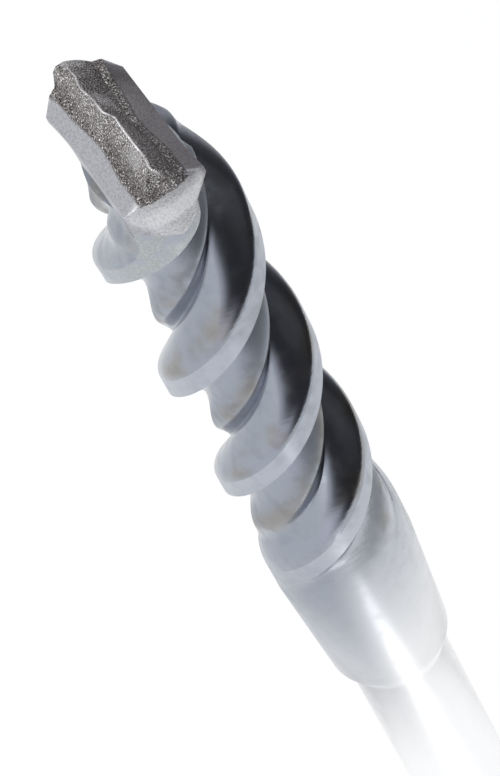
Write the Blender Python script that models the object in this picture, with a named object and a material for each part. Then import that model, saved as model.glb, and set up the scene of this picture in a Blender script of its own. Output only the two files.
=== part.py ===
"""Hammer drill bit: a fluted steel body with a slotted plug-in shank, and a hard metal cutting head brazed on its end.

The bit stands on the flat end of its shank. The origin is the centre of that end, +Z runs to the cutting edge,
and the head's two wings reach along Y.
"""

import math

import bmesh
import bpy
from mathutils import Vector

MM = 0.001

# Lengths along the bit, from the shank end up
OVERALL_LENGTH = 140.0 * MM
SHANK_LENGTH = 53.95 * MM
COLLAR_CHAMFER_LENGTH = 2.6 * MM
COLLAR_LENGTH = 15.1 * MM
RUNOUT_LENGTH = 22.5 * MM

# Shank, with the standard slots of a plug-in hammer shank
SHANK_DIAMETER = 10.0 * MM
SHANK_END_CHAMFER = 1.0 * MM
DRIVE_SLOT_WIDTH = 5.0 * MM
DRIVE_SLOT_DEPTH = 1.7 * MM
DRIVE_SLOT_LENGTH = 27.0 * MM
DRIVE_SLOT_MILL_RADIUS = 4.0 * MM
LOCK_SLOT_WIDTH = 5.2 * MM
LOCK_SLOT_DEPTH = 1.5 * MM
LOCK_SLOT_LENGTH = 20.0 * MM
LOCK_SLOT_START = 7.5 * MM

# Collar
COLLAR_BOTTOM_DIAMETER = 12.3 * MM
COLLAR_TOP_DIAMETER = 14.0 * MM

# Flutes: a two-start right-hand helix, coarser at the head. Angles are in degrees.
LAND_DIAMETER = 14.1 * MM
PITCH_AT_HEAD = 37.6 * MM
PITCH_AT_COLLAR = 29.3 * MM
LAND_ANGLE = 26.7
LAND_PHASE = 14.7
CORE_DIAMETER = 9.8 * MM
UNDERCUT_DIAMETER = 8.3 * MM
GROOVE_DIAMETER = 8.2 * MM

# Where those three lie, as shares of the way from a land to the next one
UNDERCUT_SHARE = 0.168
CORE_SHARE = 0.504
GROOVE_SHARE = 0.683

# How far below the head its plan flows into the flutes and its wings into the lands
HEAD_BLEND_LENGTH = 2.0 * MM
LAND_BLEND_LENGTH = 11.1 * MM

# Cutting head: it sits with a keel in a V-shaped seat that runs from wing to wing
HEAD_DIAMETER = 16.4 * MM
HEAD_HEIGHT = 7.15 * MM
HEAD_FOOT_DIAMETER = 15.4 * MM
HEAD_THICKNESS = 7.5 * MM
HEAD_LEAD_WIDTH = 4.05 * MM
HEAD_FOOT_LEAD_WIDTH = 2.2 * MM
CORNER_DEPTH = 5.0 * MM
SHOULDER_DEPTH = 4.3 * MM
SEAT_WIDTH = 6.9 * MM
KEEL_DEPTH = 2.4 * MM
BRAZE_GAP = 0.15 * MM

# Sections of the head's top, from the trailing side of a wing to its leading side: place, depth below the tip.
# They are for the pressed end of the wing at +Y, for both wings at WING_SHARE of their reach, and for the middle.
PRESSED_END_PROFILE = (
    (-2.50 * MM, 2.60 * MM),
    (-1.70 * MM, 2.50 * MM),
    (-1.20 * MM, 1.85 * MM),
    (-0.50 * MM, 1.25 * MM),
    (0.40 * MM, 0.85 * MM),
    (1.20 * MM, 0.74 * MM),
    (1.65 * MM, 1.15 * MM),
    (1.88 * MM, 2.50 * MM),
    (2.89 * MM, 2.88 * MM),
)
WING_PROFILE = (
    (-2.20 * MM, 3.15 * MM),
    (-1.60 * MM, 3.00 * MM),
    (-1.10 * MM, 2.00 * MM),
    (-0.50 * MM, 0.90 * MM),
    (0.33 * MM, 0.00 * MM),
    (0.75 * MM, 0.55 * MM),
    (1.25 * MM, 1.45 * MM),
    (1.80 * MM, 2.85 * MM),
    (2.40 * MM, 3.10 * MM),
)
MIDDLE_PROFILE = (
    (-1.80 * MM, 3.20 * MM),
    (-1.35 * MM, 3.00 * MM),
    (-1.00 * MM, 2.05 * MM),
    (-0.55 * MM, 1.00 * MM),
    (0.20 * MM, 0.10 * MM),
    (0.50 * MM, 0.65 * MM),
    (0.90 * MM, 1.50 * MM),
    (1.50 * MM, 2.90 * MM),
    (1.85 * MM, 3.20 * MM),
)
WING_SHARE = 0.6
WAVES_PER_WING = 2
RIDGE_WAVE = 0.12 * MM
SCALLOP_DEPTH = 0.3 * MM
JOG_SHARE = 0.12

# The wing at -Y is ground to a facet at its end: its last section is set back by this much at each point, and the
# facet's lower edge has the points of the second list.
GROUND_SETBACK = (0.1 * MM, 0.3 * MM, 0.6 * MM, 0.8 * MM, 0.85 * MM, 0.65 * MM, 0.4 * MM, 0.15 * MM, 0.1 * MM)
GROUND_END_PROFILE = (
    (-2.60 * MM, 3.60 * MM),
    (-1.90 * MM, 3.50 * MM),
    (-1.30 * MM, 3.65 * MM),
    (-0.20 * MM, 3.50 * MM),
    (1.20 * MM, 3.65 * MM),
    (1.60 * MM, 3.55 * MM),
    (1.95 * MM, 3.65 * MM),
    (2.40 * MM, 3.55 * MM),
    (3.20 * MM, 3.60 * MM),
)
PRESSED_END_INSET = 0.3 * MM

# Mesh fineness. A side's segments are those of the flute's four parts, and are also the rows of the head's top.
LAND_SEGMENTS = 8
FLUTE_SEGMENTS = (5, 4, 3, 6)
RING_SPACING = 1.25 * MM
SLOT_ARC_SEGMENTS = 16

SIDE_SEGMENTS = sum(FLUTE_SEGMENTS)
COLLAR_BOTTOM_Z = SHANK_LENGTH + COLLAR_CHAMFER_LENGTH
COLLAR_TOP_Z = COLLAR_BOTTOM_Z + COLLAR_LENGTH
HEAD_FOOT_Z = OVERALL_LENGTH - HEAD_HEIGHT
CORNER_Z = OVERALL_LENGTH - CORNER_DEPTH
FLUTED_LENGTH = HEAD_FOOT_Z - COLLAR_TOP_Z
LEAD_CUT_SHARE = 0.35
# Plan angles are counted from the wing that points to -Y
WING_ANGLE = -90.0


def ease(x):
    """0 to 1 with no slope at either end."""
    x = min(1.0, max(0.0, x))
    return (1.0 - math.cos(math.pi * x)) / 2.0


def mix(a, b, share):
    return a + (b - a) * share


def clear_scene():
    for obj in list(bpy.data.objects):
        bpy.data.objects.remove(obj, do_unlink=True)


def make_material(name, color, roughness, metallic):
    material = bpy.data.materials.new(name)
    material.use_nodes = True
    shader = material.node_tree.nodes["Principled BSDF"]
    shader.inputs["Base Color"].default_value = (*color, 1.0)
    shader.inputs["Roughness"].default_value = roughness
    shader.inputs["Metallic"].default_value = metallic
    return material


def make_object(name, builder, material, sharp_degrees=30.0):
    mesh = bpy.data.meshes.new(name)
    builder.normal_update()
    builder.to_mesh(mesh)
    builder.free()
    mesh.shade_smooth()
    mesh.set_sharp_from_angle(angle=math.radians(sharp_degrees))
    obj = bpy.data.objects.new(name, mesh)
    bpy.context.collection.objects.link(obj)
    if material:
        obj.data.materials.append(material)
    return obj


def make_cutter(name, builder, degrees=0.0):
    cutter = make_object(name, builder, None)
    cutter.rotation_euler.z = math.radians(degrees)
    cutter.hide_render = True
    cutter.display_type = "WIRE"
    return cutter


def cut(body, cutter):
    boolean = body.modifiers.new(cutter.name, "BOOLEAN")
    boolean.operation = "DIFFERENCE"
    boolean.object = cutter


def bridge(builder, below, above, closed=True):
    """Quads between two rows of vertices, the lower one first, seen from outside with the rows running to the right."""
    count = len(below)
    for i in range(count if closed else count - 1):
        j = (i + 1) % count
        builder.faces.new((below[i], below[j], above[j], above[i]))


def loft(builder, rings):
    """Skins closed rings of equal length, lowest first, and returns their vertices."""
    made = [[builder.verts.new(point) for point in ring] for ring in rings]
    for below, above in zip(made, made[1:]):
        bridge(builder, below, above)
    return made


def prism(builder, outline, width):
    """A closed outline of (distance along X, height), extruded to both sides along Y."""
    face = builder.faces.new([builder.verts.new((x, -width / 2, z)) for x, z in outline])
    moved = bmesh.ops.extrude_face_region(builder, geom=[face])["geom"]
    far = [item for item in moved if isinstance(item, bmesh.types.BMVert)]
    bmesh.ops.translate(builder, verts=far, vec=(0.0, width, 0.0))
    bmesh.ops.recalc_face_normals(builder, faces=builder.faces)


def polar(degrees, radius, z):
    angle = math.radians(degrees + WING_ANGLE)
    return Vector((radius * math.cos(angle), radius * math.sin(angle), z))


def round_ring(z, radius, angles):
    return [polar(degrees, radius, z) for degrees in angles]


# Plans. A half turn has the points of one land or wing end, from its trailing to its leading edge, and then those of
# the side that follows. Each point is (degrees, radius), and each side point also knows its share of the way across.


def head_plan(z):
    """Edges of a wing's round end, and the side's points as (share of the way in degrees, radius)."""
    share = (z - HEAD_FOOT_Z) / (CORNER_Z - HEAD_FOOT_Z)
    share = min(1.0, max(0.0, share))
    radius = mix(HEAD_FOOT_DIAMETER, HEAD_DIAMETER, share) / 2
    trail_width = HEAD_THICKNESS / 2
    lead_width = mix(HEAD_FOOT_LEAD_WIDTH, HEAD_LEAD_WIDTH, share)
    trail = math.degrees(math.asin(trail_width / radius))
    lead = math.degrees(math.asin(lead_width / radius))
    lead_reach = math.sqrt(radius**2 - lead_width**2)
    trail_reach = math.sqrt(radius**2 - trail_width**2)
    side = []
    for i in range(SIDE_SEGMENTS):
        along = i / SIDE_SEGMENTS
        cut_in = max(0.0, 1.0 - along / LEAD_CUT_SHARE) ** 2
        width = mix(trail_width, lead_width, cut_in)
        reach = mix(lead_reach, -trail_reach, along)
        degrees = math.degrees(math.atan2(width, reach))
        side.append(((degrees - lead) / (180.0 - trail - lead), math.hypot(width, reach)))
    return -trail, lead, radius, side


def flute_stations(land_radius):
    """(share of the way from one land to the next, radius, shape of the slope that leads to it)."""
    return (
        (0.0, land_radius, None),
        (UNDERCUT_SHARE, UNDERCUT_DIAMETER / 2, lambda x: math.sin(math.pi / 2 * x)),
        (CORE_SHARE, CORE_DIAMETER / 2, ease),
        (GROOVE_SHARE, GROOVE_DIAMETER / 2, ease),
        (1.0, land_radius, lambda x: math.sin(math.pi / 2 * x) ** 0.9),
    )


def flute_side(land_radius):
    side = []
    stations = flute_stations(land_radius)
    for (low, low_radius, _), (high, high_radius, slope), count in zip(stations, stations[1:], FLUTE_SEGMENTS):
        for i in range(count):
            side.append((mix(low, high, i / count), mix(low_radius, high_radius, slope(i / count))))
    return side


def helix_turn(depth):
    """Degrees that the flutes turn from the head's foot down to this depth below it."""
    at_head = 360.0 / PITCH_AT_HEAD
    at_collar = 360.0 / PITCH_AT_COLLAR
    return at_head * depth + (at_collar - at_head) * depth**2 / (2 * FLUTED_LENGTH)


def bit_ring(z):
    """The bit's section at height z: head, flutes blended into it above, and collar below."""
    depth = HEAD_FOOT_Z - z
    trail, lead, wing_radius, head_side = head_plan(z)
    helix_lead = LAND_PHASE - helix_turn(depth)
    edge_blend = ease(1.0 - depth / LAND_BLEND_LENGTH) ** 2
    side_blend = ease(1.0 - depth / HEAD_BLEND_LENGTH)
    low = mix(helix_lead, lead, edge_blend)
    high = mix(helix_lead - LAND_ANGLE, trail, edge_blend) + 180.0
    land_radius = mix(LAND_DIAMETER / 2, wing_radius, ease(1.0 - depth / LAND_BLEND_LENGTH))
    runout = ease((z - COLLAR_TOP_Z) / RUNOUT_LENGTH)
    full_radius = mix(COLLAR_TOP_DIAMETER / 2, land_radius, runout)
    half = [(mix(high - 180.0, low, i / LAND_SEGMENTS), land_radius) for i in range(LAND_SEGMENTS)]
    for (share, radius), (head_share, head_radius) in zip(flute_side(land_radius), head_side):
        share = mix(share, head_share, side_blend)
        half.append((mix(low, high, share), mix(radius, head_radius, side_blend)))
    points = []
    for turn in (0.0, 180.0):
        for degrees, radius in half:
            points.append(polar(degrees + turn, full_radius - (land_radius - radius) * runout, z))
    return points


def ring_heights():
    steps = math.ceil(FLUTED_LENGTH / RING_SPACING)
    return [COLLAR_TOP_Z + FLUTED_LENGTH * i / steps for i in range(steps + 1)]


def seat_outline(lift, top):
    """The V-shaped seat across the bit, closed far above it or far below it."""
    half = SEAT_WIDTH / 2
    far = HEAD_DIAMETER
    foot = HEAD_FOOT_Z + lift
    seat = [(-far, foot), (-half, foot), (0.0, foot - KEEL_DEPTH), (half, foot), (far, foot)]
    return seat + [(far, top), (-far, top)]


# Steel body


def steel_body(material):
    builder = bmesh.new()
    shank_radius = SHANK_DIAMETER / 2
    fluted = [bit_ring(z) for z in ring_heights()]
    angles = [math.degrees(math.atan2(point.y, point.x)) - WING_ANGLE for point in fluted[0]]
    rings = [
        round_ring(0.0, shank_radius - SHANK_END_CHAMFER, angles),
        round_ring(SHANK_END_CHAMFER, shank_radius, angles),
        round_ring(SHANK_LENGTH, shank_radius, angles),
        round_ring(COLLAR_BOTTOM_Z, COLLAR_BOTTOM_DIAMETER / 2, angles),
    ]
    made = loft(builder, rings + fluted)
    builder.faces.new(reversed(made[0]))
    builder.faces.new(made[-1])
    body = make_object("steel_body", builder, material)
    for side in (0.0, 180.0):
        cut(body, drive_slot_cutter(side + WING_ANGLE))
        cut(body, lock_slot_cutter(side))
    groove = bmesh.new()
    half = SEAT_WIDTH / 2
    rise = KEEL_DEPTH / half * BRAZE_GAP
    foot = HEAD_FOOT_Z
    outline = [(-half - BRAZE_GAP, foot + rise), (0.0, foot - KEEL_DEPTH), (half + BRAZE_GAP, foot + rise)]
    prism(groove, outline, 2 * HEAD_DIAMETER)
    cut(body, make_cutter("seat_cutter", groove))
    return body


def drive_slot_cutter(degrees):
    """A straight slot, open at the shank end, that runs out on a round mill's arc."""
    floor = SHANK_DIAMETER / 2 - DRIVE_SLOT_DEPTH
    mill_radius = DRIVE_SLOT_MILL_RADIUS
    steps = SLOT_ARC_SEGMENTS // 2
    profile = [(floor, -SHANK_END_CHAMFER)]
    for i in range(steps + 1):
        angle = math.pi / 2 * i / steps
        out = floor + mill_radius * (1.0 - math.cos(angle))
        profile.append((out, DRIVE_SLOT_LENGTH - mill_radius * (1.0 - math.sin(angle))))
    profile.append((floor + mill_radius, -SHANK_END_CHAMFER))
    builder = bmesh.new()
    prism(builder, profile, DRIVE_SLOT_WIDTH)
    return make_cutter("drive_slot_cutter", builder, degrees)


def lock_slot_cutter(degrees):
    """A ball-ended groove, closed at both ends: a thick bar with half balls on it, sunk into the shank."""
    builder = bmesh.new()
    ball_radius = (LOCK_SLOT_WIDTH / 2) ** 2 / (2 * LOCK_SLOT_DEPTH) + LOCK_SLOT_DEPTH / 2
    axis_distance = SHANK_DIAMETER / 2 - LOCK_SLOT_DEPTH + ball_radius
    around = [360.0 * i / (2 * SLOT_ARC_SEGMENTS) for i in range(2 * SLOT_ARC_SEGMENTS)]
    steps = SLOT_ARC_SEGMENTS // 2
    inset = LOCK_SLOT_WIDTH / 2
    low = LOCK_SLOT_START + inset
    high = LOCK_SLOT_START + LOCK_SLOT_LENGTH - inset
    rings = []
    for i in range(1, steps + 1):
        angle = math.pi / 2 * i / steps
        rings.append(round_ring(low - ball_radius * math.cos(angle), ball_radius * math.sin(angle), around))
    for i in range(steps, 0, -1):
        angle = math.pi / 2 * i / steps
        rings.append(round_ring(high + ball_radius * math.cos(angle), ball_radius * math.sin(angle), around))
    made = loft(builder, rings)
    builder.faces.new(reversed(made[0]))
    builder.faces.new(made[-1])
    bmesh.ops.translate(builder, verts=builder.verts, vec=(axis_distance, 0.0, 0.0))
    return make_cutter("lock_slot_cutter", builder, degrees)


# Cutting head


def roof_section(along):
    """Points across the head's top at one station: (distance to the right of the wing's line, depth below the tip).

    The station runs from 1 at the end of the wing at -Y to -1 at the other end.
    """
    wing_blend = ease(abs(along) / WING_SHARE)
    end_blend = ease((-along - WING_SHARE) / (1.0 - WING_SHARE))
    wing = []
    for end, out, middle in zip(PRESSED_END_PROFILE, WING_PROFILE, MIDDLE_PROFILE):
        point = [mix(middle[0], out[0], wing_blend), mix(middle[1], out[1], wing_blend)]
        wing.append([mix(point[0], end[0], end_blend), mix(point[1], end[1], end_blend)])
    # Each scallop in the trailing slope pushes the ridge towards the leading side
    ridge = len(wing) // 2
    wave = math.cos(2.0 * math.pi * WAVES_PER_WING * along) * (1.0 - end_blend)
    wing[ridge][0] += wave * RIDGE_WAVE
    wing[ridge + 1][0] += wave * RIDGE_WAVE
    wing[ridge - 1][1] += (1.0 + wave) / 2 * SCALLOP_DEPTH
    wing[ridge - 2][1] += (1.0 + wave) / 2 * SCALLOP_DEPTH
    other = [(-place, depth) for place, depth in reversed(wing)]
    side = (1.0 + min(1.0, max(-1.0, along / JOG_SHARE))) / 2
    return [
        (mix(other_place, place, side), mix(other_depth, depth, side))
        for (other_place, other_depth), (place, depth) in zip(other, wing)
    ]


def head_top(builder):
    """The grid of the head's top, as rows from the end of the wing at -Y to that of the other."""
    rows = []
    # The outermost row at each end lies on the wing's round end, and the next is set back from it
    inner = SIDE_SEGMENTS - 2
    stations = [(1.0, True)] + [(1.0 - 2.0 * i / inner, False) for i in range(inner + 1)] + [(-1.0, True)]
    for along, at_end in stations:
        ground = along > 0.0
        section = GROUND_END_PROFILE if at_end and ground else roof_section(along)
        row = []
        for (place, depth), setback in zip(section, GROUND_SETBACK):
            reach = math.sqrt((HEAD_DIAMETER / 2) ** 2 - place**2)
            if not at_end:
                reach -= setback if ground else PRESSED_END_INSET
            row.append(builder.verts.new((place, -reach * along, OVERALL_LENGTH - depth)))
        rows.append(row)
    for near, far in zip(rows, rows[1:]):
        bridge(builder, near, far, closed=False)
    return rows


def carbide_head(material):
    """Rings from below the keel to the shoulder, then the grid of the top; the seat's V is cut from below."""
    builder = bmesh.new()
    keel_z = HEAD_FOOT_Z - KEEL_DEPTH
    heights = [z for z in ring_heights() if z > keel_z - RING_SPACING]
    rings = [bit_ring(z) for z in heights]
    rings.append(bit_ring(CORNER_Z))
    rings.append([Vector((point.x, point.y, OVERALL_LENGTH - SHOULDER_DEPTH)) for point in rings[-1]])
    made = loft(builder, rings)
    builder.faces.new(reversed(made[0]))
    rows = head_top(builder)
    inner = rows[1:-1]
    rim = rows[0] + [row[-1] for row in inner] + rows[-1][::-1] + [row[0] for row in reversed(inner)]
    bridge(builder, made[-1], rim)
    head = make_object("carbide_head", builder, material, sharp_degrees=20.0)
    below = bmesh.new()
    prism(below, seat_outline(BRAZE_GAP, keel_z - 2 * RING_SPACING), 2 * HEAD_DIAMETER)
    cut(head, make_cutter("keel_cutter", below))
    return head


def build():
    clear_scene()
    steel = make_material("ground_steel", (0.62, 0.65, 0.69), 0.28, 1.0)
    carbide = make_material("hard_metal", (0.36, 0.34, 0.33), 0.5, 1.0)
    steel_body(steel)
    carbide_head(carbide)


build()
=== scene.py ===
import math

import bmesh
import bpy
from mathutils import Euler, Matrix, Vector


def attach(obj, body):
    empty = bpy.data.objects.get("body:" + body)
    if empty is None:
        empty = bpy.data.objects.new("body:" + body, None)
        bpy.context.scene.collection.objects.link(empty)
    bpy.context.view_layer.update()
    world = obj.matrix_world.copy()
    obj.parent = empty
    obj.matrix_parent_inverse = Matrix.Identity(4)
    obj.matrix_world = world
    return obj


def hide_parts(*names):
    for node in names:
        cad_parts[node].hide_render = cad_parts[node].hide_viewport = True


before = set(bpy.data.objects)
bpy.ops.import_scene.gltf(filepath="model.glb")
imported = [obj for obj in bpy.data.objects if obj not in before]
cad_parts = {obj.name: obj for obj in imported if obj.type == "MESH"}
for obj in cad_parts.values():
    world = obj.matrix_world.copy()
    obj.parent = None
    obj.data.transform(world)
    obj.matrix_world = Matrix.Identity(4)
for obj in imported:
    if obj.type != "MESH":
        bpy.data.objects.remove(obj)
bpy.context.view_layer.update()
mm = 0.001
scene = bpy.context.scene
scene.view_settings.view_transform = "Standard"


# Sizes of the bit in millimetres and degrees, for both pieces. Depths are counted down from the tip, and plan
# angles from the wing at -Y. Shares of a flute run from a land's leading edge to the next land's trailing edge.
bitForm = {
    "overallLength": 140.0,
    "shankTop": 53.95,
    "collarChamfer": 2.6,
    "collarLength": 15.1,
    "collarTopRadius": 7.0,
    "collarBottomRadius": 6.15,
    "shankRadius": 5.0,
    "shankChamfer": 1.0,
    "runoutLength": 22.5,
    "landRadius": 7.009,
    "pitchAtHead": 37.6,
    "pitchAtCollar": 29.3,
    "landAngle": 26.7,
    "landPhase": 14.7,
    "coreRadius": 4.9,
    "undercutRadius": 4.15,
    "grooveRadius": 4.1,
    "undercutShare": 0.168,
    "coreShare": 0.504,
    "grooveShare": 0.683,
    "grooveFullness": 0.9,
    "landBlend": 11.1,
    "headBlend": 2.0,
    "footDepth": 7.15,
    "footRadius": 7.68,
    "cornerDepth": 5.0,
    "shoulderDepth": 4.3,
    "headRadius": 8.198,
    "trailWidth": 3.75,
    "leadWidth": 4.05,
    "footLeadWidth": 2.2,
    "leadCutShare": 0.35,
    "seatWidth": 6.9,
    "keelDepth": 2.4,
    "brazeGap": 0.01,
    "waist": 0.3,
    "waistStart": 0.5,
    "waistLength": 9.0,
    "waistSquareness": 3,
    "ledgeShare": 0.45,
}

collarHeight = bitForm["shankTop"] + bitForm["collarChamfer"] + bitForm["collarLength"]
collarTopDepth = (
    bitForm["overallLength"] - bitForm["shankTop"] - bitForm["collarChamfer"] - bitForm["collarLength"]
)


def ease(x):
    x = min(1.0, max(0.0, x))
    return (1.0 - math.cos(math.pi * x)) / 2.0


def mix(a, b, share):
    return a + (b - a) * share


def newObject(name, builder, material, sharpDegrees=30.0):
    mesh = bpy.data.meshes.new(name)
    builder.normal_update()
    builder.to_mesh(mesh)
    builder.free()
    mesh.shade_smooth()
    mesh.set_sharp_from_angle(angle=math.radians(sharpDegrees))
    made = bpy.data.objects.new(name, mesh)
    scene.collection.objects.link(made)
    if material:
        mesh.materials.append(material)
    return made


# A cut leaves no sharp marks on its new edges, so they are set again after it
def cutAway(body, cutter, sharpDegrees=30.0):
    boolean = body.modifiers.new(cutter.name, "BOOLEAN")
    boolean.operation = "DIFFERENCE"
    boolean.object = cutter
    bpy.context.view_layer.update()
    evaluated = body.evaluated_get(bpy.context.evaluated_depsgraph_get())
    cutMesh = bpy.data.meshes.new_from_object(evaluated)
    body.modifiers.clear()
    for face in cutMesh.polygons:
        face.material_index = 0
    cutMesh.shade_smooth()
    cutMesh.set_sharp_from_angle(angle=math.radians(sharpDegrees))
    body.data = cutMesh
    bpy.data.objects.remove(cutter, do_unlink=True)


# Plan of the head at a depth: where a wing's sides start, its radius, and the side as (share, radius)
def headPlan(depth, sideSteps):
    form = bitForm
    share = (form["footDepth"] - depth) / (form["footDepth"] - form["cornerDepth"])
    share = min(1.0, max(0.0, share))
    radius = mix(form["footRadius"], form["headRadius"], share)
    trailWidth = form["trailWidth"]
    leadWidth = mix(form["footLeadWidth"], form["leadWidth"], share)
    trail = math.degrees(math.asin(trailWidth / radius))
    lead = math.degrees(math.asin(leadWidth / radius))
    leadReach = math.sqrt(radius**2 - leadWidth**2)
    trailReach = math.sqrt(radius**2 - trailWidth**2)
    side = []
    for i in range(sideSteps):
        along = i / sideSteps
        cutIn = max(0.0, 1.0 - along / form["leadCutShare"]) ** 2
        width = mix(trailWidth, leadWidth, cutIn)
        reach = mix(leadReach, -trailReach, along)
        degrees = math.degrees(math.atan2(width, reach))
        side.append(((degrees - lead) / (180.0 - trail - lead), math.hypot(width, reach)))
    return -trail, lead, radius, side


def fluteSide(landRadius, steps):
    form = bitForm
    stations = (
        (0.0, landRadius, None),
        (form["undercutShare"], form["undercutRadius"], lambda x: math.sin(math.pi / 2 * x)),
        (form["coreShare"], form["coreRadius"], ease),
        (form["grooveShare"], form["grooveRadius"], ease),
        (1.0, landRadius, lambda x: math.sin(math.pi / 2 * x) ** form["grooveFullness"]),
    )
    side = []
    for (low, lowRadius, _), (high, highRadius, slope), count in zip(stations, stations[1:], steps):
        for i in range(count):
            side.append((mix(low, high, i / count), mix(lowRadius, highRadius, slope(i / count))))
    return side


def helixTurn(below):
    form = bitForm
    fluted = collarTopDepth - form["footDepth"]
    atHead = 360.0 / form["pitchAtHead"]
    atCollar = 360.0 / form["pitchAtCollar"]
    return atHead * below + (atCollar - atHead) * below**2 / (2 * fluted)


# One ring of the bit's surface: a land from its trailing edge on, the flute after it, and both again half round
def bitRing(depth, landSteps, fluteSteps, steel=False):
    form = bitForm
    below = depth - form["footDepth"]
    trail, lead, wingRadius, headSide = headPlan(depth, sum(fluteSteps))
    helixLead = form["landPhase"] - helixTurn(below)
    edgeBlend = ease(1.0 - below / form["landBlend"]) ** 2
    sideBlend = ease(1.0 - below / form["headBlend"])
    low = mix(helixLead, lead, edgeBlend)
    high = mix(helixLead - form["landAngle"], trail, edgeBlend) + 180.0
    landRadius = mix(form["landRadius"], wingRadius, ease(1.0 - below / form["landBlend"]))
    runout = ease((collarTopDepth - depth) / form["runoutLength"])
    fullRadius = mix(form["collarTopRadius"], landRadius, runout)
    half = [(mix(high - 180.0, low, i / landSteps), landRadius) for i in range(landSteps)]
    for (share, radius), (headShare, headRadius) in zip(fluteSide(landRadius, fluteSteps), headSide):
        share = mix(share, headShare, sideBlend)
        half.append((mix(low, high, share), mix(radius, headRadius, sideBlend)))
    if steel:
        half = half[:landSteps] + neckSide(half[landSteps:], below, low, high, sideBlend)
    points = []
    for turn in (0.0, 180.0):
        for degrees, radius in half:
            angle = math.radians(degrees + turn - 90.0)
            out = (fullRadius - (landRadius - radius) * runout) * mm
            height = (form["overallLength"] - depth) * mm
            points.append(Vector((out * math.cos(angle), out * math.sin(angle), height)))
    return points


# The steel has a narrow ledge along the head's sides and a slight waist below them
def neckSide(side, below, low, high, sideBlend):
    form = bitForm
    waist = form["waist"] * ease(1.0 - abs(2.0 * (below - form["waistStart"]) / form["waistLength"] - 1.0))
    necked = []
    for degrees, radius in side:
        share = (degrees - low) / (high - low)
        middle = max(0.0, 1.0 - abs(2.0 * share - 1.0) ** form["waistSquareness"])
        ledge = form["ledgeShare"] * sideBlend * (form["coreRadius"] - radius)
        necked.append((degrees, radius + middle * (max(0.0, ledge) - waist)))
    return necked


def roundRing(height, radius, angles):
    return [Vector((radius * mm * math.cos(a), radius * mm * math.sin(a), height * mm)) for a in angles]


def bridge(builder, below, above, closed=True):
    count = len(below)
    for i in range(count if closed else count - 1):
        j = (i + 1) % count
        builder.faces.new((below[i], below[j], above[j], above[i]))


def loft(builder, rings):
    made = [[builder.verts.new(point) for point in ring] for ring in rings]
    for below, above in zip(made, made[1:]):
        bridge(builder, below, above)
    return made


def prism(name, outline, width, degrees=0.0):
    builder = bmesh.new()
    face = builder.faces.new([builder.verts.new((x * mm, -width / 2 * mm, z * mm)) for x, z in outline])
    moved = bmesh.ops.extrude_face_region(builder, geom=[face])["geom"]
    far = [item for item in moved if isinstance(item, bmesh.types.BMVert)]
    bmesh.ops.translate(builder, verts=far, vec=(0.0, width * mm, 0.0))
    bmesh.ops.recalc_face_normals(builder, faces=builder.faces)
    cutter = newObject(name, builder, None)
    cutter.rotation_euler.z = math.radians(degrees)
    return cutter


# Each of these adds shader nodes to a tree and gives back the output
def calc(tree, operation, *values):
    node = tree.nodes.new("ShaderNodeMath")
    node.operation = operation
    for socket, value in zip(node.inputs, values):
        if isinstance(value, bpy.types.NodeSocket):
            tree.links.new(value, socket)
        else:
            socket.default_value = value
    return node.outputs[0]


def ramped(tree, value, low, high, lowValue=0.0, highValue=1.0):
    node = tree.nodes.new("ShaderNodeMapRange")
    node.interpolation_type = "SMOOTHSTEP"
    tree.links.new(value, node.inputs["Value"])
    for name, number in zip(("From Min", "From Max", "To Min", "To Max"), (low, high, lowValue, highValue)):
        node.inputs[name].default_value = number
    return node.outputs[0]


def mixColor(tree, blend, share, first, second):
    node = tree.nodes.new("ShaderNodeMix")
    node.data_type = "RGBA"
    node.blend_type = blend
    sockets = [socket for socket in node.inputs if socket.enabled]
    for socket, value in zip(sockets, (share, first, second)):
        if isinstance(value, bpy.types.NodeSocket):
            tree.links.new(value, socket)
        elif isinstance(value, float):
            socket.default_value = value
        else:
            socket.default_value = (*value, 1.0)
    return [socket for socket in node.outputs if socket.enabled][0]


def stopped(tree, value, stops):
    node = tree.nodes.new("ShaderNodeValToRGB")
    elements = node.color_ramp.elements
    for place, color in stops[2:]:
        elements.new(place)
    for element, (place, color) in zip(elements, stops):
        element.position = place
        element.color = (*color, 1.0)
    tree.links.new(value, node.inputs[0])
    return node.outputs[0]


def noise(tree, place, scale, detail, stretch=None):
    if stretch:
        stretcher = tree.nodes.new("ShaderNodeMapping")
        stretcher.inputs["Scale"].default_value = stretch
        tree.links.new(place, stretcher.inputs["Vector"])
        place = stretcher.outputs[0]
    node = tree.nodes.new("ShaderNodeTexNoise")
    node.inputs["Scale"].default_value = scale
    node.inputs["Detail"].default_value = detail
    tree.links.new(place, node.inputs["Vector"])
    return node.outputs[0]


def objectPlace(tree):
    place = tree.nodes.new("ShaderNodeTexCoord").outputs["Object"]
    split = tree.nodes.new("ShaderNodeSeparateXYZ")
    tree.links.new(place, split.inputs[0])
    return (place, *split.outputs)


def meshMark(tree, name):
    node = tree.nodes.new("ShaderNodeAttribute")
    node.attribute_name = name
    return node.outputs["Fac"]


def bumped(tree, height, strength, distance):
    node = tree.nodes.new("ShaderNodeBump")
    node.inputs["Strength"].default_value = strength
    node.inputs["Distance"].default_value = distance
    tree.links.new(height, node.inputs["Height"])
    return node.outputs[0]


print("camera")

# A long lens that looks down along the bit, as in the photograph. Rotation in degrees.
cameraView = {
    "location": (-25.7658 * mm, -232.5293 * mm, 384.5927 * mm),
    "rotation": (35.8358, 17.5381, -28.8515),
    "lens": 190.66,
    "sensor": 36.0,
    "clipStart": 0.02,
    "clipEnd": 20.0,
}


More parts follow.
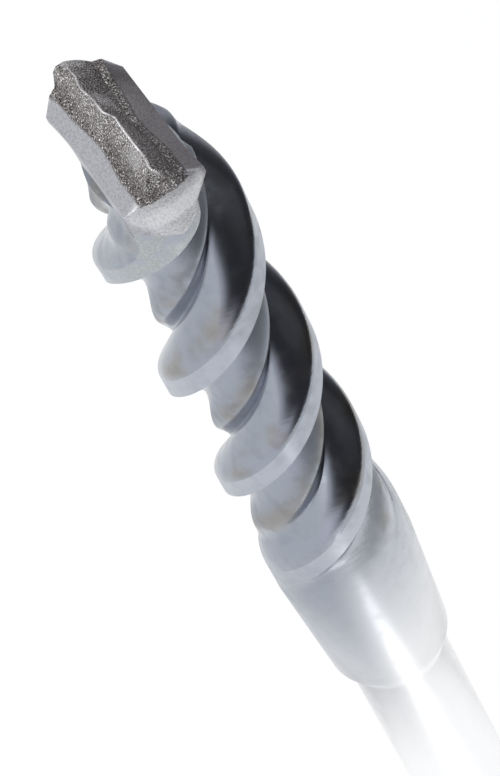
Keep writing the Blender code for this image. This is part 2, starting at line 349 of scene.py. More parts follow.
def setCamera():
    camera = bpy.data.objects.new("camera", bpy.data.cameras.new("camera"))
    scene.collection.objects.link(camera)
    camera.location = cameraView["location"]
    camera.rotation_euler = Euler([math.radians(a) for a in cameraView["rotation"]])
    camera.data.lens = cameraView["lens"]
    camera.data.sensor_width = cameraView["sensor"]
    camera.data.clip_start = cameraView["clipStart"]
    camera.data.clip_end = cameraView["clipEnd"]
    scene.camera = camera


setCamera()


print("studio")

studio = {
    "ambient": 0.9,
    "ambientColor": (0.93, 0.96, 1.0),
    "floorSize": 4.0,
    "floorColor": (0.92, 0.92, 0.93),
    "floorRoughness": 0.8,
    "floorShadowShare": 0.12,
    "lampAim": (0.0, 0.0, 0.1),
    "keyPower": 2.6,
    "keyPlace": (-0.45, -0.35, 0.62),
    "keySize": 0.45,
    "fillPower": 0.8,
    "fillPlace": (0.5, -0.4, 0.35),
    "fillSize": 0.5,
}

# Dark card that stands in a curve beside the bit, and pale card that lies in front of it. Only the metal's
# gloss sees them. Lengths are in metres. Each stop of the dark card is (degrees around the bit, brightness).
# The dark card's left edge leans by (from height, to height, degrees there), growing over leanEnds in degrees.
cards = {
    "darkRadius": 0.16,
    "darkBottom": 0.0005,
    "darkTop": 0.26,
    "darkColumns": 96,
    "darkStops": (
        (222.0, 1.0), (238.0, 0.62), (250.0, 0.16), (262.0, 0.05),
        (360.0, 0.05), (380.0, 0.1), (400.0, 0.45), (430.0, 0.55),
    ),
    "darkTint": (1.0, 0.98, 1.05),
    "lean": (0.07, 0.13, 16.0, -9.0),
    "leanEnds": (340.0, 280.0),
    "paleStart": 0.012,
    "paleLength": 0.085,
    "paleWidth": 0.014,
    "paleHeight": 0.001,
    "paleDirection": 262.0,
    "paleBrightness": 1.7,
}


def rayMask(tree, *rays):
    path = tree.nodes.new("ShaderNodeLightPath")
    mask = path.outputs[rays[0]]
    for ray in rays[1:]:
        mask = calc(tree, "MAXIMUM", mask, path.outputs[ray])
    return mask


def setWorld():
    world = bpy.data.worlds.new("studio")
    scene.world = world
    world.use_nodes = True
    tree = world.node_tree
    tree.nodes.clear()
    output = tree.nodes.new("ShaderNodeOutputWorld")
    mixer = tree.nodes.new("ShaderNodeMixShader")
    ambient = tree.nodes.new("ShaderNodeBackground")
    ambient.inputs["Color"].default_value = (*studio["ambientColor"], 1.0)
    ambient.inputs["Strength"].default_value = studio["ambient"]
    white = tree.nodes.new("ShaderNodeBackground")
    white.inputs["Color"].default_value = (1.0, 1.0, 1.0, 1.0)
    tree.links.new(rayMask(tree, "Is Camera Ray", "Is Glossy Ray", "Is Transmission Ray"), mixer.inputs[0])
    tree.links.new(ambient.outputs[0], mixer.inputs[1])
    tree.links.new(white.outputs[0], mixer.inputs[2])
    tree.links.new(mixer.outputs[0], output.inputs["Surface"])


def addLamp(name, place, size, power):
    lamp = bpy.data.lights.new(name, "AREA")
    lamp.energy = power
    lamp.size = size
    lampObject = bpy.data.objects.new(name, lamp)
    scene.collection.objects.link(lampObject)
    lampObject.location = place
    aim = Vector(studio["lampAim"]) - lampObject.location
    lampObject.rotation_euler = aim.to_track_quat("-Z", "Y").to_euler()


def addFloor():
    builder = bmesh.new()
    half = studio["floorSize"] / 2
    corners = [(-half, -half), (half, -half), (half, half), (-half, half)]
    builder.faces.new([builder.verts.new((x, y, 0.0)) for x, y in corners])
    material = bpy.data.materials.new("floorPaper")
    material.use_nodes = True
    tree = material.node_tree
    paper = tree.nodes["Principled BSDF"]
    paper.inputs["Base Color"].default_value = (*studio["floorColor"], 1.0)
    paper.inputs["Roughness"].default_value = studio["floorRoughness"]
    white = tree.nodes.new("ShaderNodeEmission")
    white.inputs["Color"].default_value = (1.0, 1.0, 1.0, 1.0)
    mixer = tree.nodes.new("ShaderNodeMixShader")
    seen = rayMask(tree, "Is Camera Ray", "Is Glossy Ray")
    tree.links.new(calc(tree, "MULTIPLY", seen, 1.0 - studio["floorShadowShare"]), mixer.inputs[0])
    tree.links.new(paper.outputs[0], mixer.inputs[1])
    tree.links.new(white.outputs[0], mixer.inputs[2])
    tree.links.new(mixer.outputs[0], tree.nodes["Material Output"].inputs["Surface"])
    newObject("floor", builder, material)


def glossOnly(card):
    card.visible_camera = False
    card.visible_diffuse = False
    card.visible_transmission = False
    card.visible_shadow = False


def cardMaterial(name):
    material = bpy.data.materials.new(name)
    material.use_nodes = True
    tree = material.node_tree
    tree.nodes.clear()
    output = tree.nodes.new("ShaderNodeOutputMaterial")
    glow = tree.nodes.new("ShaderNodeEmission")
    tree.links.new(glow.outputs[0], output.inputs["Surface"])
    return material, glow


def addDarkCard():
    stops = cards["darkStops"]
    first, last = stops[0][0], stops[-1][0]
    builder = bmesh.new()
    columns = []
    for i in range(cards["darkColumns"] + 1):
        angle = math.radians(mix(first, last, i / cards["darkColumns"]))
        x, y = cards["darkRadius"] * math.cos(angle), cards["darkRadius"] * math.sin(angle)
        columns.append([builder.verts.new((x, y, z)) for z in (cards["darkBottom"], cards["darkTop"])])
    for left, right in zip(columns, columns[1:]):
        builder.faces.new((left[0], right[0], right[1], left[1]))
    material, glow = cardMaterial("darkCard")
    tree = material.node_tree
    _, x, y, z = objectPlace(tree)
    degrees = calc(tree, "MULTIPLY", calc(tree, "ARCTAN2", y, x), 180.0 / math.pi)
    turned = calc(tree, "WRAP", degrees, first + 360.0, first)
    lean = calc(tree, "MULTIPLY", ramped(tree, z, *cards["lean"]), ramped(tree, turned, *cards["leanEnds"]))
    turned = calc(tree, "SUBTRACT", turned, lean)
    share = calc(tree, "DIVIDE", calc(tree, "SUBTRACT", turned, first), last - first)
    grays = [((angle - first) / (last - first), (value, value, value)) for angle, value in stops]
    tint = mixColor(tree, "MULTIPLY", 1.0, stopped(tree, share, grays), cards["darkTint"])
    tree.links.new(tint, glow.inputs["Color"])
    glossOnly(newObject("darkCard", builder, material))


def addPaleCard():
    direction = math.radians(cards["paleDirection"])
    along = Vector((math.cos(direction), math.sin(direction), 0.0))
    across = Vector((-along.y, along.x, 0.0)) * cards["paleWidth"] / 2
    near, far = along * cards["paleStart"], along * (cards["paleStart"] + cards["paleLength"])
    lift = Vector((0.0, 0.0, cards["paleHeight"]))
    builder = bmesh.new()
    corners = (near - across, far - across, far + across, near + across)
    builder.faces.new([builder.verts.new(corner + lift) for corner in corners])
    material, glow = cardMaterial("paleCard")
    glow.inputs["Strength"].default_value = cards["paleBrightness"]
    glossOnly(newObject("paleCard", builder, material))


setWorld()
addFloor()
addDarkCard()
addPaleCard()
addLamp("keyLamp", studio["keyPlace"], studio["keySize"], studio["keyPower"])
addLamp("fillLamp", studio["fillPlace"], studio["fillSize"], studio["fillPower"])


print("materials")

# Heights are in millimetres from the shank's end, and a land's edge is in degrees. Ramps are (from, to), with
# the values at both ends where these aren't 0 and 1. Places in a flute are (share, reach).
steelLook = {
    "color": (0.336, 0.366, 0.419),
    "landColor": (0.445, 0.475, 0.53),
    "landEdgeOut": 1.5,
    "landEdgeIn": 1.0,
    "flutedHeight": 82.0,
    # Warm patches on the core and on the upper flank; on the upper flank they paint the brownish tint of the
    # dark reflection there
    "warmColor": (0.3, 0.287, 0.268),
    "warmShare": 0.8,
    "warmPlaces": ((0.504, 0.2), (0.9, 0.14)),
    "corePlace": (0.4, 0.22),
    "placeEdge": 0.02,
    "blastColor": (0.44, 0.465, 0.48),
    "blastHeights": (119.0, 129.0),
    "blastInFlutes": 0.3,
    "blastBump": 4.0,
    # Painted glare: towards the shank the steel is painted almost white, as if washed out by light, and higher
    # up on the side at +X and -Y as a painted highlight
    "paintedGlareColor": (0.98, 0.985, 0.99),
    "paintedGlareHeights": (78.0, 34.5),
    "frontX": 0.8,
    "frontY": -0.6,
    "frontGlareRamp": (0.0, 0.0036, 0.0, 12.5),  # from the axis in metres, and the lift of the fade in millimetres
    "roughness": 0.17,
    "landRoughness": 0.3,
    "coreRoughness": 0.3,
    "plainRoughness": 0.12,
    "plainHeights": (84.0, 68.0),
    "mottleScale": 700.0,
    "mottleDetail": 5.0,
    "mottleRamp": (0.42, 0.68),
    "mottleTint": (0.92, 0.92, 0.93),
    "mottleRoughness": 0.08,
    "mottledHeights": (66.0, 84.0),
    "patchScale": 175.0,
    "patchDetail": 3.0,
    "patchRamp": (0.45, 0.62),
    "speckScale": 5200.0,
    "speckDetail": 2.0,
    "speckRamp": (0.4, 0.62, 0.86, 1.06),
    "scratchScale": 260.0,
    "scratchDetail": 4.0,
    "scratchStretch": (1.0, 1.0, 9.0),
    "scratchBump": 0.035,
    "bumpDistance": 0.0004,
}


# Masks that follow the lands and flutes down the helix, as bitRing turns them
def fluteZones():
    group = bpy.data.node_groups.new("fluteZones", "ShaderNodeTree")
    for name in ("Land", "Core", "Warm", "Height"):
        group.interface.new_socket(name, in_out="OUTPUT", socket_type="NodeSocketFloat")
    zones = group.nodes.new("NodeGroupOutput")
    form, look = bitForm, steelLook
    _, x, y, z = objectPlace(group)
    height = calc(group, "DIVIDE", z, mm)
    below = calc(group, "SUBTRACT", form["overallLength"] - form["footDepth"], height)
    degrees = calc(group, "MULTIPLY_ADD", calc(group, "ARCTAN2", y, x), 180.0 / math.pi, 90.0)
    atHead = 360.0 / form["pitchAtHead"]
    atCollar = 360.0 / form["pitchAtCollar"]
    growth = (atCollar - atHead) / (2 * (collarTopDepth - form["footDepth"]))
    rate = calc(group, "MULTIPLY_ADD", below, growth, atHead)
    helixLead = calc(group, "SUBTRACT", form["landPhase"], calc(group, "MULTIPLY", rate, below))
    helixTrail = calc(group, "SUBTRACT", helixLead, form["landAngle"])
    trailHead, leadHead = headPlan(form["footDepth"], sideSteps=1)[:2]
    blend = calc(group, "POWER", ramped(group, below, form["landBlend"], 0.0), 2.0)
    unblend = calc(group, "SUBTRACT", 1.0, blend)
    lead = calc(group, "MULTIPLY_ADD", blend, leadHead, calc(group, "MULTIPLY", helixLead, unblend))
    trail = calc(group, "MULTIPLY_ADD", blend, trailHead, calc(group, "MULTIPLY", helixTrail, unblend))
    width = calc(group, "SUBTRACT", lead, trail)
    after = calc(group, "WRAP", calc(group, "SUBTRACT", degrees, trail), 90.0, -90.0)
    past = calc(group, "SUBTRACT", after, width)
    rises = ramped(group, after, -look["landEdgeOut"], look["landEdgeIn"])
    falls = ramped(group, past, look["landEdgeOut"], -look["landEdgeIn"])
    fluted = ramped(group, height, collarHeight, look["flutedHeight"])
    land = calc(group, "MULTIPLY", calc(group, "MULTIPLY", rises, falls), fluted)
    share = calc(group, "DIVIDE", calc(group, "WRAP", past, 180.0, 0.0), 180.0 - form["landAngle"])
    masks = []
    for middle, reach in (*look["warmPlaces"], look["corePlace"]):
        off = calc(group, "ABSOLUTE", calc(group, "SUBTRACT", share, middle))
        masks.append(calc(group, "MULTIPLY", ramped(group, off, reach, look["placeEdge"]), fluted))
    group.links.new(land, zones.inputs["Land"])
    group.links.new(masks[2], zones.inputs["Core"])
    group.links.new(calc(group, "MAXIMUM", masks[0], masks[1]), zones.inputs["Warm"])
    group.links.new(height, zones.inputs["Height"])
    return group


def steelFinish():
    look = steelLook
    material = bpy.data.materials.new("groundSteel")
    material.use_nodes = True
    tree = material.node_tree
    shader = tree.nodes["Principled BSDF"]
    shader.inputs["Metallic"].default_value = 1.0
    zones = tree.nodes.new("ShaderNodeGroup")
    zones.node_tree = fluteZones()
    land, core, warm, height = [zones.outputs[name] for name in ("Land", "Core", "Warm", "Height")]
    place, x, y, _ = objectPlace(tree)
    # Painted glare: the fade to white towards the shank starts higher on the side at +X and -Y, a painted
    # highlight on that side
    front = calc(tree, "MULTIPLY_ADD", y, look["frontY"], calc(tree, "MULTIPLY", x, look["frontX"]))
    front = ramped(tree, front, *look["frontGlareRamp"])
    fade = ramped(tree, calc(tree, "SUBTRACT", height, front), *look["paintedGlareHeights"])
    mottle = ramped(tree, noise(tree, place, look["mottleScale"], look["mottleDetail"]), *look["mottleRamp"])
    patches = ramped(tree, noise(tree, place, look["patchScale"], look["patchDetail"]), *look["patchRamp"])
    # Warm patches, on the upper flank a painted brownish tint of the reflection
    warmth = calc(tree, "MULTIPLY", calc(tree, "MULTIPLY", patches, warm), look["warmShare"])
    color = mixColor(tree, "MIX", warmth, look["color"], look["warmColor"])
    color = mixColor(tree, "MIX", land, color, look["landColor"])
    darker = mixColor(tree, "MULTIPLY", 1.0, color, look["mottleTint"])
    # Close to the head the steel is blasted, on the lands more than in the flutes
    inFlutes = look["blastInFlutes"]
    blasted = ramped(tree, height, *look["blastHeights"])
    blasted = calc(tree, "MULTIPLY", blasted, calc(tree, "MULTIPLY_ADD", land, 1.0 - inFlutes, inFlutes))
    speck = noise(tree, place, look["speckScale"], look["speckDetail"])
    blastTone = mixColor(tree, "MULTIPLY", 1.0, look["blastColor"], ramped(tree, speck, *look["speckRamp"]))
    color = mixColor(tree, "MIX", blasted, color, blastTone)
    mottled = calc(tree, "MULTIPLY", mottle, ramped(tree, height, *look["mottledHeights"]))
    color = mixColor(tree, "MIX", mottled, color, darker)
    # Painted glare: the steel is painted almost white towards the shank
    color = mixColor(tree, "MIX", fade, color, look["paintedGlareColor"])
    tree.links.new(color, shader.inputs["Base Color"])
    roughness = ramped(tree, land, 0.0, 1.0, look["roughness"], look["landRoughness"])
    roughness = calc(tree, "MULTIPLY_ADD", mottle, look["mottleRoughness"], roughness)
    plain = ramped(tree, height, *look["plainHeights"])
    roughness = calc(tree, "MULTIPLY_ADD", plain, look["plainRoughness"], roughness)
    roughness = calc(tree, "MULTIPLY_ADD", core, look["coreRoughness"], roughness)
    tree.links.new(roughness, shader.inputs["Roughness"])
    scratch = noise(tree, place, look["scratchScale"], look["scratchDetail"], look["scratchStretch"])
    pits = calc(tree, "MULTIPLY", calc(tree, "MULTIPLY", speck, blasted), look["blastBump"])
    relief = calc(tree, "ADD", scratch, pits)
    tree.links.new(bumped(tree, relief, look["scratchBump"], look["bumpDistance"]), shader.inputs["Normal"])
    return material


# The top is rough as pressed, the sides and one end are ground. Its ramps along X and Y are in metres.
carbideLook = {
    "color": (0.305, 0.292, 0.301),
    # Painted light: the head's smooth sides are painted lighter towards -X
    "litLeftColor": (0.45, 0.452, 0.49),
    "litLeftRamp": (0.001, -0.0015),
    "grainScale": 7000.0,
    "grainDetail": 1.0,
    # The pressed grain's colours: real grain, with its brightest specks painted glints
    "grainAndGlintStops": (
        (0.3, (0.035, 0.03, 0.028)), (0.48, (0.19, 0.175, 0.165)),
        (0.6, (0.305, 0.292, 0.301)), (0.72, (1.0, 0.97, 0.94)),
    ),
    "roughRamp": (0.86, 0.98),
    "fineScale": 4900.0,
    "fineRamp": (0.4, 0.7),
    "fineTint": (0.76, 0.76, 0.76),
    "groundColor": (0.62, 0.625, 0.65),
    "groundRamp": (0.00715, 0.0075),
    "groundFineRamp": (0.45, 0.65),
    "groundTint": (0.8, 0.8, 0.8),
    # Painted light and shade from the roof's tone marks, and a pale grey painted as a sheen where they are
    # brightest
    "toneRamp": (-1.0, 1.0, 0.72, 1.5),
    "scoopColor": (0.42, 0.42, 0.43),
    "scoopRamp": (0.3, 1.0, 0.0, 0.6),
    # A painted highlight along the ridge
    "ridgeHighlightColor": (0.95, 0.95, 0.97),
    "ridgeRamp": (0.35, 0.8),
    "ridgeFarRamp": (-0.0005, 0.003, 1.0, 0.55),
    "highlightBreakScale": 700.0,
    "highlightBreakRamp": (0.3, 0.6, 0.35, 1.0),
    "roughness": 0.36,
    "roughMetal": 0.85,
    "grainBump": 0.9,
    "smoothGrain": 0.15,
    "bumpDistance": 0.0003,
}


def carbideFinish():
    look = carbideLook
    material = bpy.data.materials.new("hardMetal")
    material.use_nodes = True
    tree = material.node_tree
    shader = tree.nodes["Principled BSDF"]
    place, x, y, _ = objectPlace(tree)
    rough = ramped(tree, meshMark(tree, "pressed"), *look["roughRamp"])
    paintedLightAndShade = meshMark(tree, "paintedLightAndShade")
    grain = noise(tree, place, look["grainScale"], look["grainDetail"])
    fine = noise(tree, place, look["fineScale"], look["grainDetail"])
    # Painted light: the smooth sides are lighter towards -X
    smooth = mixColor(tree, "MIX", ramped(tree, x, *look["litLeftRamp"]), look["color"], look["litLeftColor"])
    smooth = mixColor(tree, "MULTIPLY", ramped(tree, fine, *look["fineRamp"]), smooth, look["fineTint"])
    groundFine = ramped(tree, fine, *look["groundFineRamp"])
    groundTone = mixColor(tree, "MULTIPLY", groundFine, look["groundColor"], look["groundTint"])
    ground = ramped(tree, calc(tree, "ABSOLUTE", y), *look["groundRamp"])
    smooth = mixColor(tree, "MIX", ground, smooth, groundTone)
    # Painted light and shade on the roof from its tone marks, with a smooth pale grey as a painted sheen where
    # they are brightest
    shade = ramped(tree, paintedLightAndShade, *look["toneRamp"])
    toned = mixColor(tree, "MULTIPLY", 1.0, stopped(tree, grain, look["grainAndGlintStops"]), shade)
    toned = mixColor(tree, "MIX", ramped(tree, paintedLightAndShade, *look["scoopRamp"]), toned, look["scoopColor"])
    color = mixColor(tree, "MIX", rough, smooth, toned)
    # A painted highlight along the ridge, broken up in places and weaker on the far wing
    highlightBreaks = ramped(tree, noise(tree, place, look["highlightBreakScale"], look["grainDetail"]), *look["highlightBreakRamp"])
    edge = calc(tree, "MULTIPLY", ramped(tree, meshMark(tree, "ridge"), *look["ridgeRamp"]), highlightBreaks)
    edge = calc(tree, "MULTIPLY", edge, ramped(tree, y, *look["ridgeFarRamp"]))
    color = mixColor(tree, "MIX", edge, color, look["ridgeHighlightColor"])
    tree.links.new(color, shader.inputs["Base Color"])
    shader.inputs["Roughness"].default_value = look["roughness"]
    metal = calc(tree, "MULTIPLY_ADD", rough, look["roughMetal"] - 1.0, 1.0)
    tree.links.new(metal, shader.inputs["Metallic"])
    relief = calc(tree, "MULTIPLY_ADD", rough, 1.0 - look["smoothGrain"], look["smoothGrain"])
    relief = calc(tree, "MULTIPLY", grain, relief)
    tree.links.new(bumped(tree, relief, look["grainBump"], look["bumpDistance"]), shader.inputs["Normal"])
    return material


groundSteel = steelFinish()
hardMetal = carbideFinish()


print("steel body")

# Fineness of the surface, and the shank's slots in millimetres: two open ones that drive it and two closed
# ones that lock it
bodyForm = {
    "landSteps": 32,
    "fluteSteps": (12, 14, 12, 18),
    "ringSpacing": 0.45,
    "shankRing": 28.5,
    "driveWidth": 5.0,
    "driveDepth": 1.7,
    "driveLength": 27.0,
    "driveMill": 4.0,
    "lockWidth": 5.2,
    "lockDepth": 1.5,
    "lockLength": 20.0,
    "lockStart": 7.5,
    "arcSteps": 24,
}


def buildBody():
    form = bitForm
    builder = bmesh.new()
    landSteps, fluteSteps = bodyForm["landSteps"], bodyForm["fluteSteps"]
    fluted = collarTopDepth - form["footDepth"]
    count = math.ceil(fluted / bodyForm["ringSpacing"])
    depths = [collarTopDepth - fluted * i / count for i in range(count + 1)]
    rings = [bitRing(depth, landSteps, fluteSteps, steel=True) for depth in depths]
    angles = [math.atan2(point.y, point.x) for point in rings[0]]
    shankTop = form["shankTop"]
    lower = [
        roundRing(0.0, form["shankRadius"] - form["shankChamfer"], angles),
        roundRing(form["shankChamfer"], form["shankRadius"], angles),
        roundRing(bodyForm["shankRing"], form["shankRadius"], angles),
        roundRing(shankTop, form["shankRadius"], angles),
        roundRing(shankTop + form["collarChamfer"], form["collarBottomRadius"], angles),
    ]
    made = loft(builder, lower + rings)
    builder.faces.new(reversed(made[0]))
    builder.faces.new(made[-1])
    body = newObject("flutedBody", builder, groundSteel)
    # The V seat is as far below the head as the braze is thick
    half = form["seatWidth"] / 2
    gap = form["brazeGap"]
    foot = form["overallLength"] - form["footDepth"]
    rise = form["keelDepth"] / half * gap
    outline = [(-half - gap, foot + rise), (0.0, foot - form["keelDepth"]), (half + gap, foot + rise)]
    cutAway(body, prism("seatCutter", outline, 4 * form["headRadius"]))
    for side in (0.0, 180.0):
        cutAway(body, driveSlot(side - 90.0))
        cutAway(body, lockSlot(side))
    body.data.materials.clear()
    body.data.materials.append(groundSteel)
    return body


def driveSlot(degrees):
    floor = bitForm["shankRadius"] - bodyForm["driveDepth"]
    mill = bodyForm["driveMill"]
    below = -bitForm["shankChamfer"]
    profile = [(floor, below)]
    for i in range(bodyForm["arcSteps"] + 1):
        angle = math.pi / 2 * i / bodyForm["arcSteps"]
        out = floor + mill * (1.0 - math.cos(angle))
        profile.append((out, bodyForm["driveLength"] - mill * (1.0 - math.sin(angle))))
    profile.append((floor + mill, below))
    return prism("driveSlotCutter", profile, bodyForm["driveWidth"], degrees)


def lockSlot(degrees):
    builder = bmesh.new()
    depth = bodyForm["lockDepth"]
    ball = (bodyForm["lockWidth"] / 2) ** 2 / (2 * depth) + depth / 2
    axis = bitForm["shankRadius"] - depth + ball
    around = [math.pi * i / bodyForm["arcSteps"] for i in range(2 * bodyForm["arcSteps"])]
    steps = bodyForm["arcSteps"] // 2
    inset = bodyForm["lockWidth"] / 2
    low = bodyForm["lockStart"] + inset
    high = bodyForm["lockStart"] + bodyForm["lockLength"] - inset
    arc = [math.pi / 2 * i / steps for i in range(1, steps + 1)]
    rings = [roundRing(low - ball * math.cos(a), ball * math.sin(a), around) for a in arc]
    rings += [roundRing(high + ball * math.cos(a), ball * math.sin(a), around) for a in reversed(arc)]
    made = loft(builder, rings)
    builder.faces.new(reversed(made[0]))
    builder.faces.new(made[-1])
    bmesh.ops.translate(builder, verts=builder.verts, vec=(axis * mm, 0.0, 0.0))
    cutter = newObject("lockSlotCutter", builder, None)
    cutter.rotation_euler.z = math.radians(degrees)
    return cutter


flutedBody = buildBody()
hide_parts("steel_body")
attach(flutedBody, "root")


print("cutting head")

# Sections of the roof from a wing's trailing side to its leading side, as (place, depth below the tip)
headForm = {
    "pressedEnd": (
        (-2.50, 2.60), (-1.70, 2.50), (-1.20, 1.85), (-0.50, 1.25), (0.40, 0.85),
        (1.20, 0.74), (1.65, 1.15), (1.88, 2.50), (2.89, 2.88),
    ),
    "wing": (
        (-2.20, 3.15), (-1.60, 3.00), (-1.10, 2.00), (-0.50, 0.90), (0.33, 0.00),
        (0.75, 0.55), (1.25, 1.45), (1.80, 2.85), (2.40, 3.10),
    ),
    "middle": (
        (-1.80, 3.20), (-1.35, 3.00), (-1.00, 2.05), (-0.55, 1.00), (0.20, 0.10),
        (0.50, 0.65), (0.90, 1.50), (1.50, 2.90), (1.85, 3.20),
    ),
    "groundEnd": (
        (-2.60, 3.60), (-1.90, 3.50), (-1.30, 3.65), (-0.20, 3.50), (1.20, 3.65),
        (1.60, 3.55), (1.95, 3.65), (2.40, 3.55), (3.20, 3.60),
    ),
    "groundSetback": (0.1, 0.15, 0.2, 0.25, 0.25, 0.25, 0.2, 0.15, 0.1),
    "pressedInset": 0.3,
    "wingShare": 0.6,
    "wavesPerWing": 2,
    "scallop": 0.3,
    "jogShare": 0.12,
    "belowKeel": 0.5,
    "columnsPerPart": 4,
    "sideSteps": (24, 26, 22, 28),
    "ringSpacing": 0.3,
    "sharpDegrees": 20.0,
    # The ridge from above, as (y, x) from the far wing to the near one, and its pull on the points beside it
    "ridgePath": (
        (8.2, -0.36), (6.47, -0.45), (5.38, -0.38), (4.55, -0.59), (3.78, -0.64), (2.95, -0.51),
        (1.89, -0.36), (0.27, -0.36), (-0.39, -0.08), (-1.06, 0.21), (-1.99, 0.13), (-4.16, 0.11),
        (-5.67, 0.14), (-6.61, 0.2), (-7.29, 0.09), (-8.2, -0.1),
    ),
    "ridgePull": (0.3, 0.7, 1.0, 0.7, 0.3),
    # Marks for the finish, and for painted light and shade. Tones are painted shade on the roof's slopes away
    # from the light and painted highlights on the facets towards it, each as (start x, end x, start y, end y,
    # weight), with x counted from the ridge.
    "lightAndShadeTones": (
        (0.05, 3.0, -9.5, 0.3, -0.9),
        (-1.3, 0.0, -9.5, -0.5, 0.35),
        (-1.2, 0.0, -6.9, -3.9, 0.6),
        (-3.5, -1.1, -9.5, 9.5, -0.35),
        (-1.7, 0.0, -0.5, 9.5, 0.2),
        (0.1, 3.0, 3.2, 9.5, -0.35),
        (0.2, 1.6, 0.9, 3.6, 1.0),
        (0.1, 1.7, -1.2, 1.1, -0.6),
        (-0.5, 1.5, 7.0, 9.5, 1.6),
    ),
    "toneEdgeX": 0.3,
    "toneEdgeY": 0.8,
    "ridgeWidth": 0.11,
    "ridgeDepth": 3.2,
    "ridgeTurn": 0.955,  # beyond this share of a wing the ridge runs down the ground end
    "pressedDepth": 3.7,
    "pressedFadeOut": 1.2,
    "pressedFadeDown": 0.6,
}


def finer(values, parts):
    fine = []
    for low, high in zip(values, values[1:]):
        for i in range(parts):
            fine.append(tuple(mix(a, b, i / parts) for a, b in zip(low, high)))
    fine.append(tuple(values[-1]))
    return fine


# Along runs from -1 at the end of the pressed wing to 1 at the end of the ground wing
def roofSection(along):
    form = headForm
    out = ease(abs(along) / form["wingShare"])
    end = ease((-along - form["wingShare"]) / (1.0 - form["wingShare"]))
    wing = []
    for pressed, outer, middle in zip(form["pressedEnd"], form["wing"], form["middle"]):
        wing.append([mix(mix(m, w, out), p, end) for m, w, p in zip(middle, outer, pressed)])
    ridge = len(wing) // 2
    wave = math.cos(2.0 * math.pi * form["wavesPerWing"] * along) * (1.0 - end)
    for i in (ridge - 2, ridge - 1):
        wing[i][1] += (1.0 + wave) / 2 * form["scallop"]
    other = [(-place, depth) for place, depth in reversed(wing)]
    side = (1.0 + min(1.0, max(-1.0, along / form["jogShare"]))) / 2
    section = [[mix(a, b, side) for a, b in zip(far, near)] for far, near in zip(other, wing)]
    shift = ridgePlace(along) - section[ridge][0]
    for i, share in enumerate(headForm["ridgePull"], ridge - 2):
        section[i][0] += shift * share
    return [tuple(point) for point in section]


def ridgePlace(along):
    y = -along * bitForm["headRadius"]
    path = headForm["ridgePath"]
    for (high, highPlace), (low, lowPlace) in zip(path, path[1:]):
        if y >= low:
            return mix(lowPlace, highPlace, min(1.0, (y - low) / (high - low)))
    return path[-1][1]


def roofRow(along, atEnd):
    ground = along > 0.0
    section = headForm["groundEnd"] if atEnd and ground else roofSection(along)
    if atEnd:
        setbacks = [0.0] * len(section)
    elif ground:
        setbacks = headForm["groundSetback"]
    else:
        setbacks = [headForm["pressedInset"]] * len(section)
    row = []
    points = [(place, depth, back) for (place, depth), back in zip(section, setbacks)]
    for place, depth, back in finer(points, headForm["columnsPerPart"]):
        reach = math.sqrt(bitForm["headRadius"] ** 2 - place**2) - back
        row.append(Vector((place * mm, -reach * along * mm, (bitForm["overallLength"] - depth) * mm)))
    return row


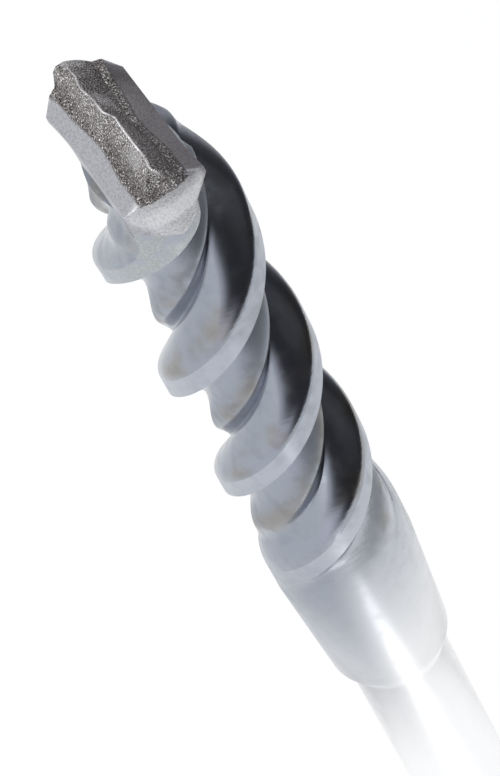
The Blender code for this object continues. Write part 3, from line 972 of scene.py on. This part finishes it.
def buildHead():
    form = bitForm
    builder = bmesh.new()
    sideSteps = headForm["sideSteps"]
    landSteps = headForm["columnsPerPart"] * (len(headForm["wing"]) - 1)
    top = form["overallLength"]
    deepest = form["footDepth"] + form["keelDepth"] + headForm["belowKeel"]
    count = math.ceil((deepest - form["cornerDepth"]) / headForm["ringSpacing"])
    depths = [mix(deepest, form["cornerDepth"], i / count) for i in range(count + 1)]
    rings = [bitRing(depth, landSteps, sideSteps) for depth in depths]
    shoulder = (top - form["shoulderDepth"]) * mm
    rings.append([Vector((point.x, point.y, shoulder)) for point in rings[-1]])
    made = loft(builder, rings)
    builder.faces.new(reversed(made[0]))
    # The rim of the roof has as many points as the ring below it
    inner = sum(sideSteps) - 2
    stations = [(1.0, True)] + [(1.0 - 2.0 * i / inner, False) for i in range(inner + 1)] + [(-1.0, True)]
    rows = [[builder.verts.new(point) for point in roofRow(along, atEnd)] for along, atEnd in stations]
    for near, far in zip(rows, rows[1:]):
        bridge(builder, near, far, closed=False)
    middle = rows[1:-1]
    rim = rows[0] + [row[-1] for row in middle] + rows[-1][::-1] + [row[0] for row in reversed(middle)]
    bridge(builder, made[-1], rim)
    sharpDegrees = headForm["sharpDegrees"]
    head = newObject("cuttingHead", builder, hardMetal, sharpDegrees)
    # All below the foot is cut away, apart from the V keel
    half = form["seatWidth"] / 2
    far = 2 * form["headRadius"]
    foot = top - form["footDepth"] + form["brazeGap"]
    floor = foot - 3 * form["keelDepth"]
    outline = [(-far, foot), (-half, foot), (0.0, foot - form["keelDepth"]), (half, foot), (far, foot)]
    outline += [(far, floor), (-far, floor)]
    cutAway(head, prism("keelCutter", outline, 2 * far), sharpDegrees)
    head.data.materials.clear()
    head.data.materials.append(hardMetal)
    markRoof(head.data)
    return head


def markRoof(mesh):
    form = headForm
    pressed = mesh.attributes.new("pressed", "FLOAT", "POINT")
    ridge = mesh.attributes.new("ridge", "FLOAT", "POINT")
    paintedLightAndShade = mesh.attributes.new("paintedLightAndShade", "FLOAT", "POINT")
    groundRidge = form["groundEnd"][len(form["groundEnd"]) // 2]
    for i, vertex in enumerate(mesh.vertices):
        x, y, z = vertex.co / mm
        depth = bitForm["overallLength"] - z
        along = min(1.0, max(-1.0, -y / bitForm["headRadius"]))
        section = roofSection(along)
        outside = max(section[0][0] - x, x - section[-1][0], 0.0)
        deep = max(0.0, depth - form["pressedDepth"])
        away = outside / form["pressedFadeOut"] + deep / form["pressedFadeDown"]
        pressed.data[i].value = max(0.0, 1.0 - away)
        middle = ridgePlace(along)
        if along > form["ridgeTurn"]:
            middle = mix(middle, groundRidge[0], depth / groundRidge[1])
        if depth < form["ridgeDepth"]:
            ridge.data[i].value = math.exp(-(((x - middle) / form["ridgeWidth"]) ** 2))
        # Painted light and shade on the roof: shade on the slopes away from the light, highlights on the facets
        # towards it
        value = 0.0
        for startX, endX, startY, endY, weight in form["lightAndShadeTones"]:
            edgeX, edgeY = form["toneEdgeX"], form["toneEdgeY"]
            across = ease((x - middle - startX) / edgeX) * ease((endX + middle - x) / edgeX)
            value += weight * across * ease((y - startY) / edgeY) * ease((endY - y) / edgeY)
        paintedLightAndShade.data[i].value = value


cuttingHead = buildHead()
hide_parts("carbide_head")
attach(cuttingHead, "root")

for piece in (flutedBody, cuttingHead):
    print(piece.name, sum(len(face.vertices) - 2 for face in piece.data.polygons), "triangles")
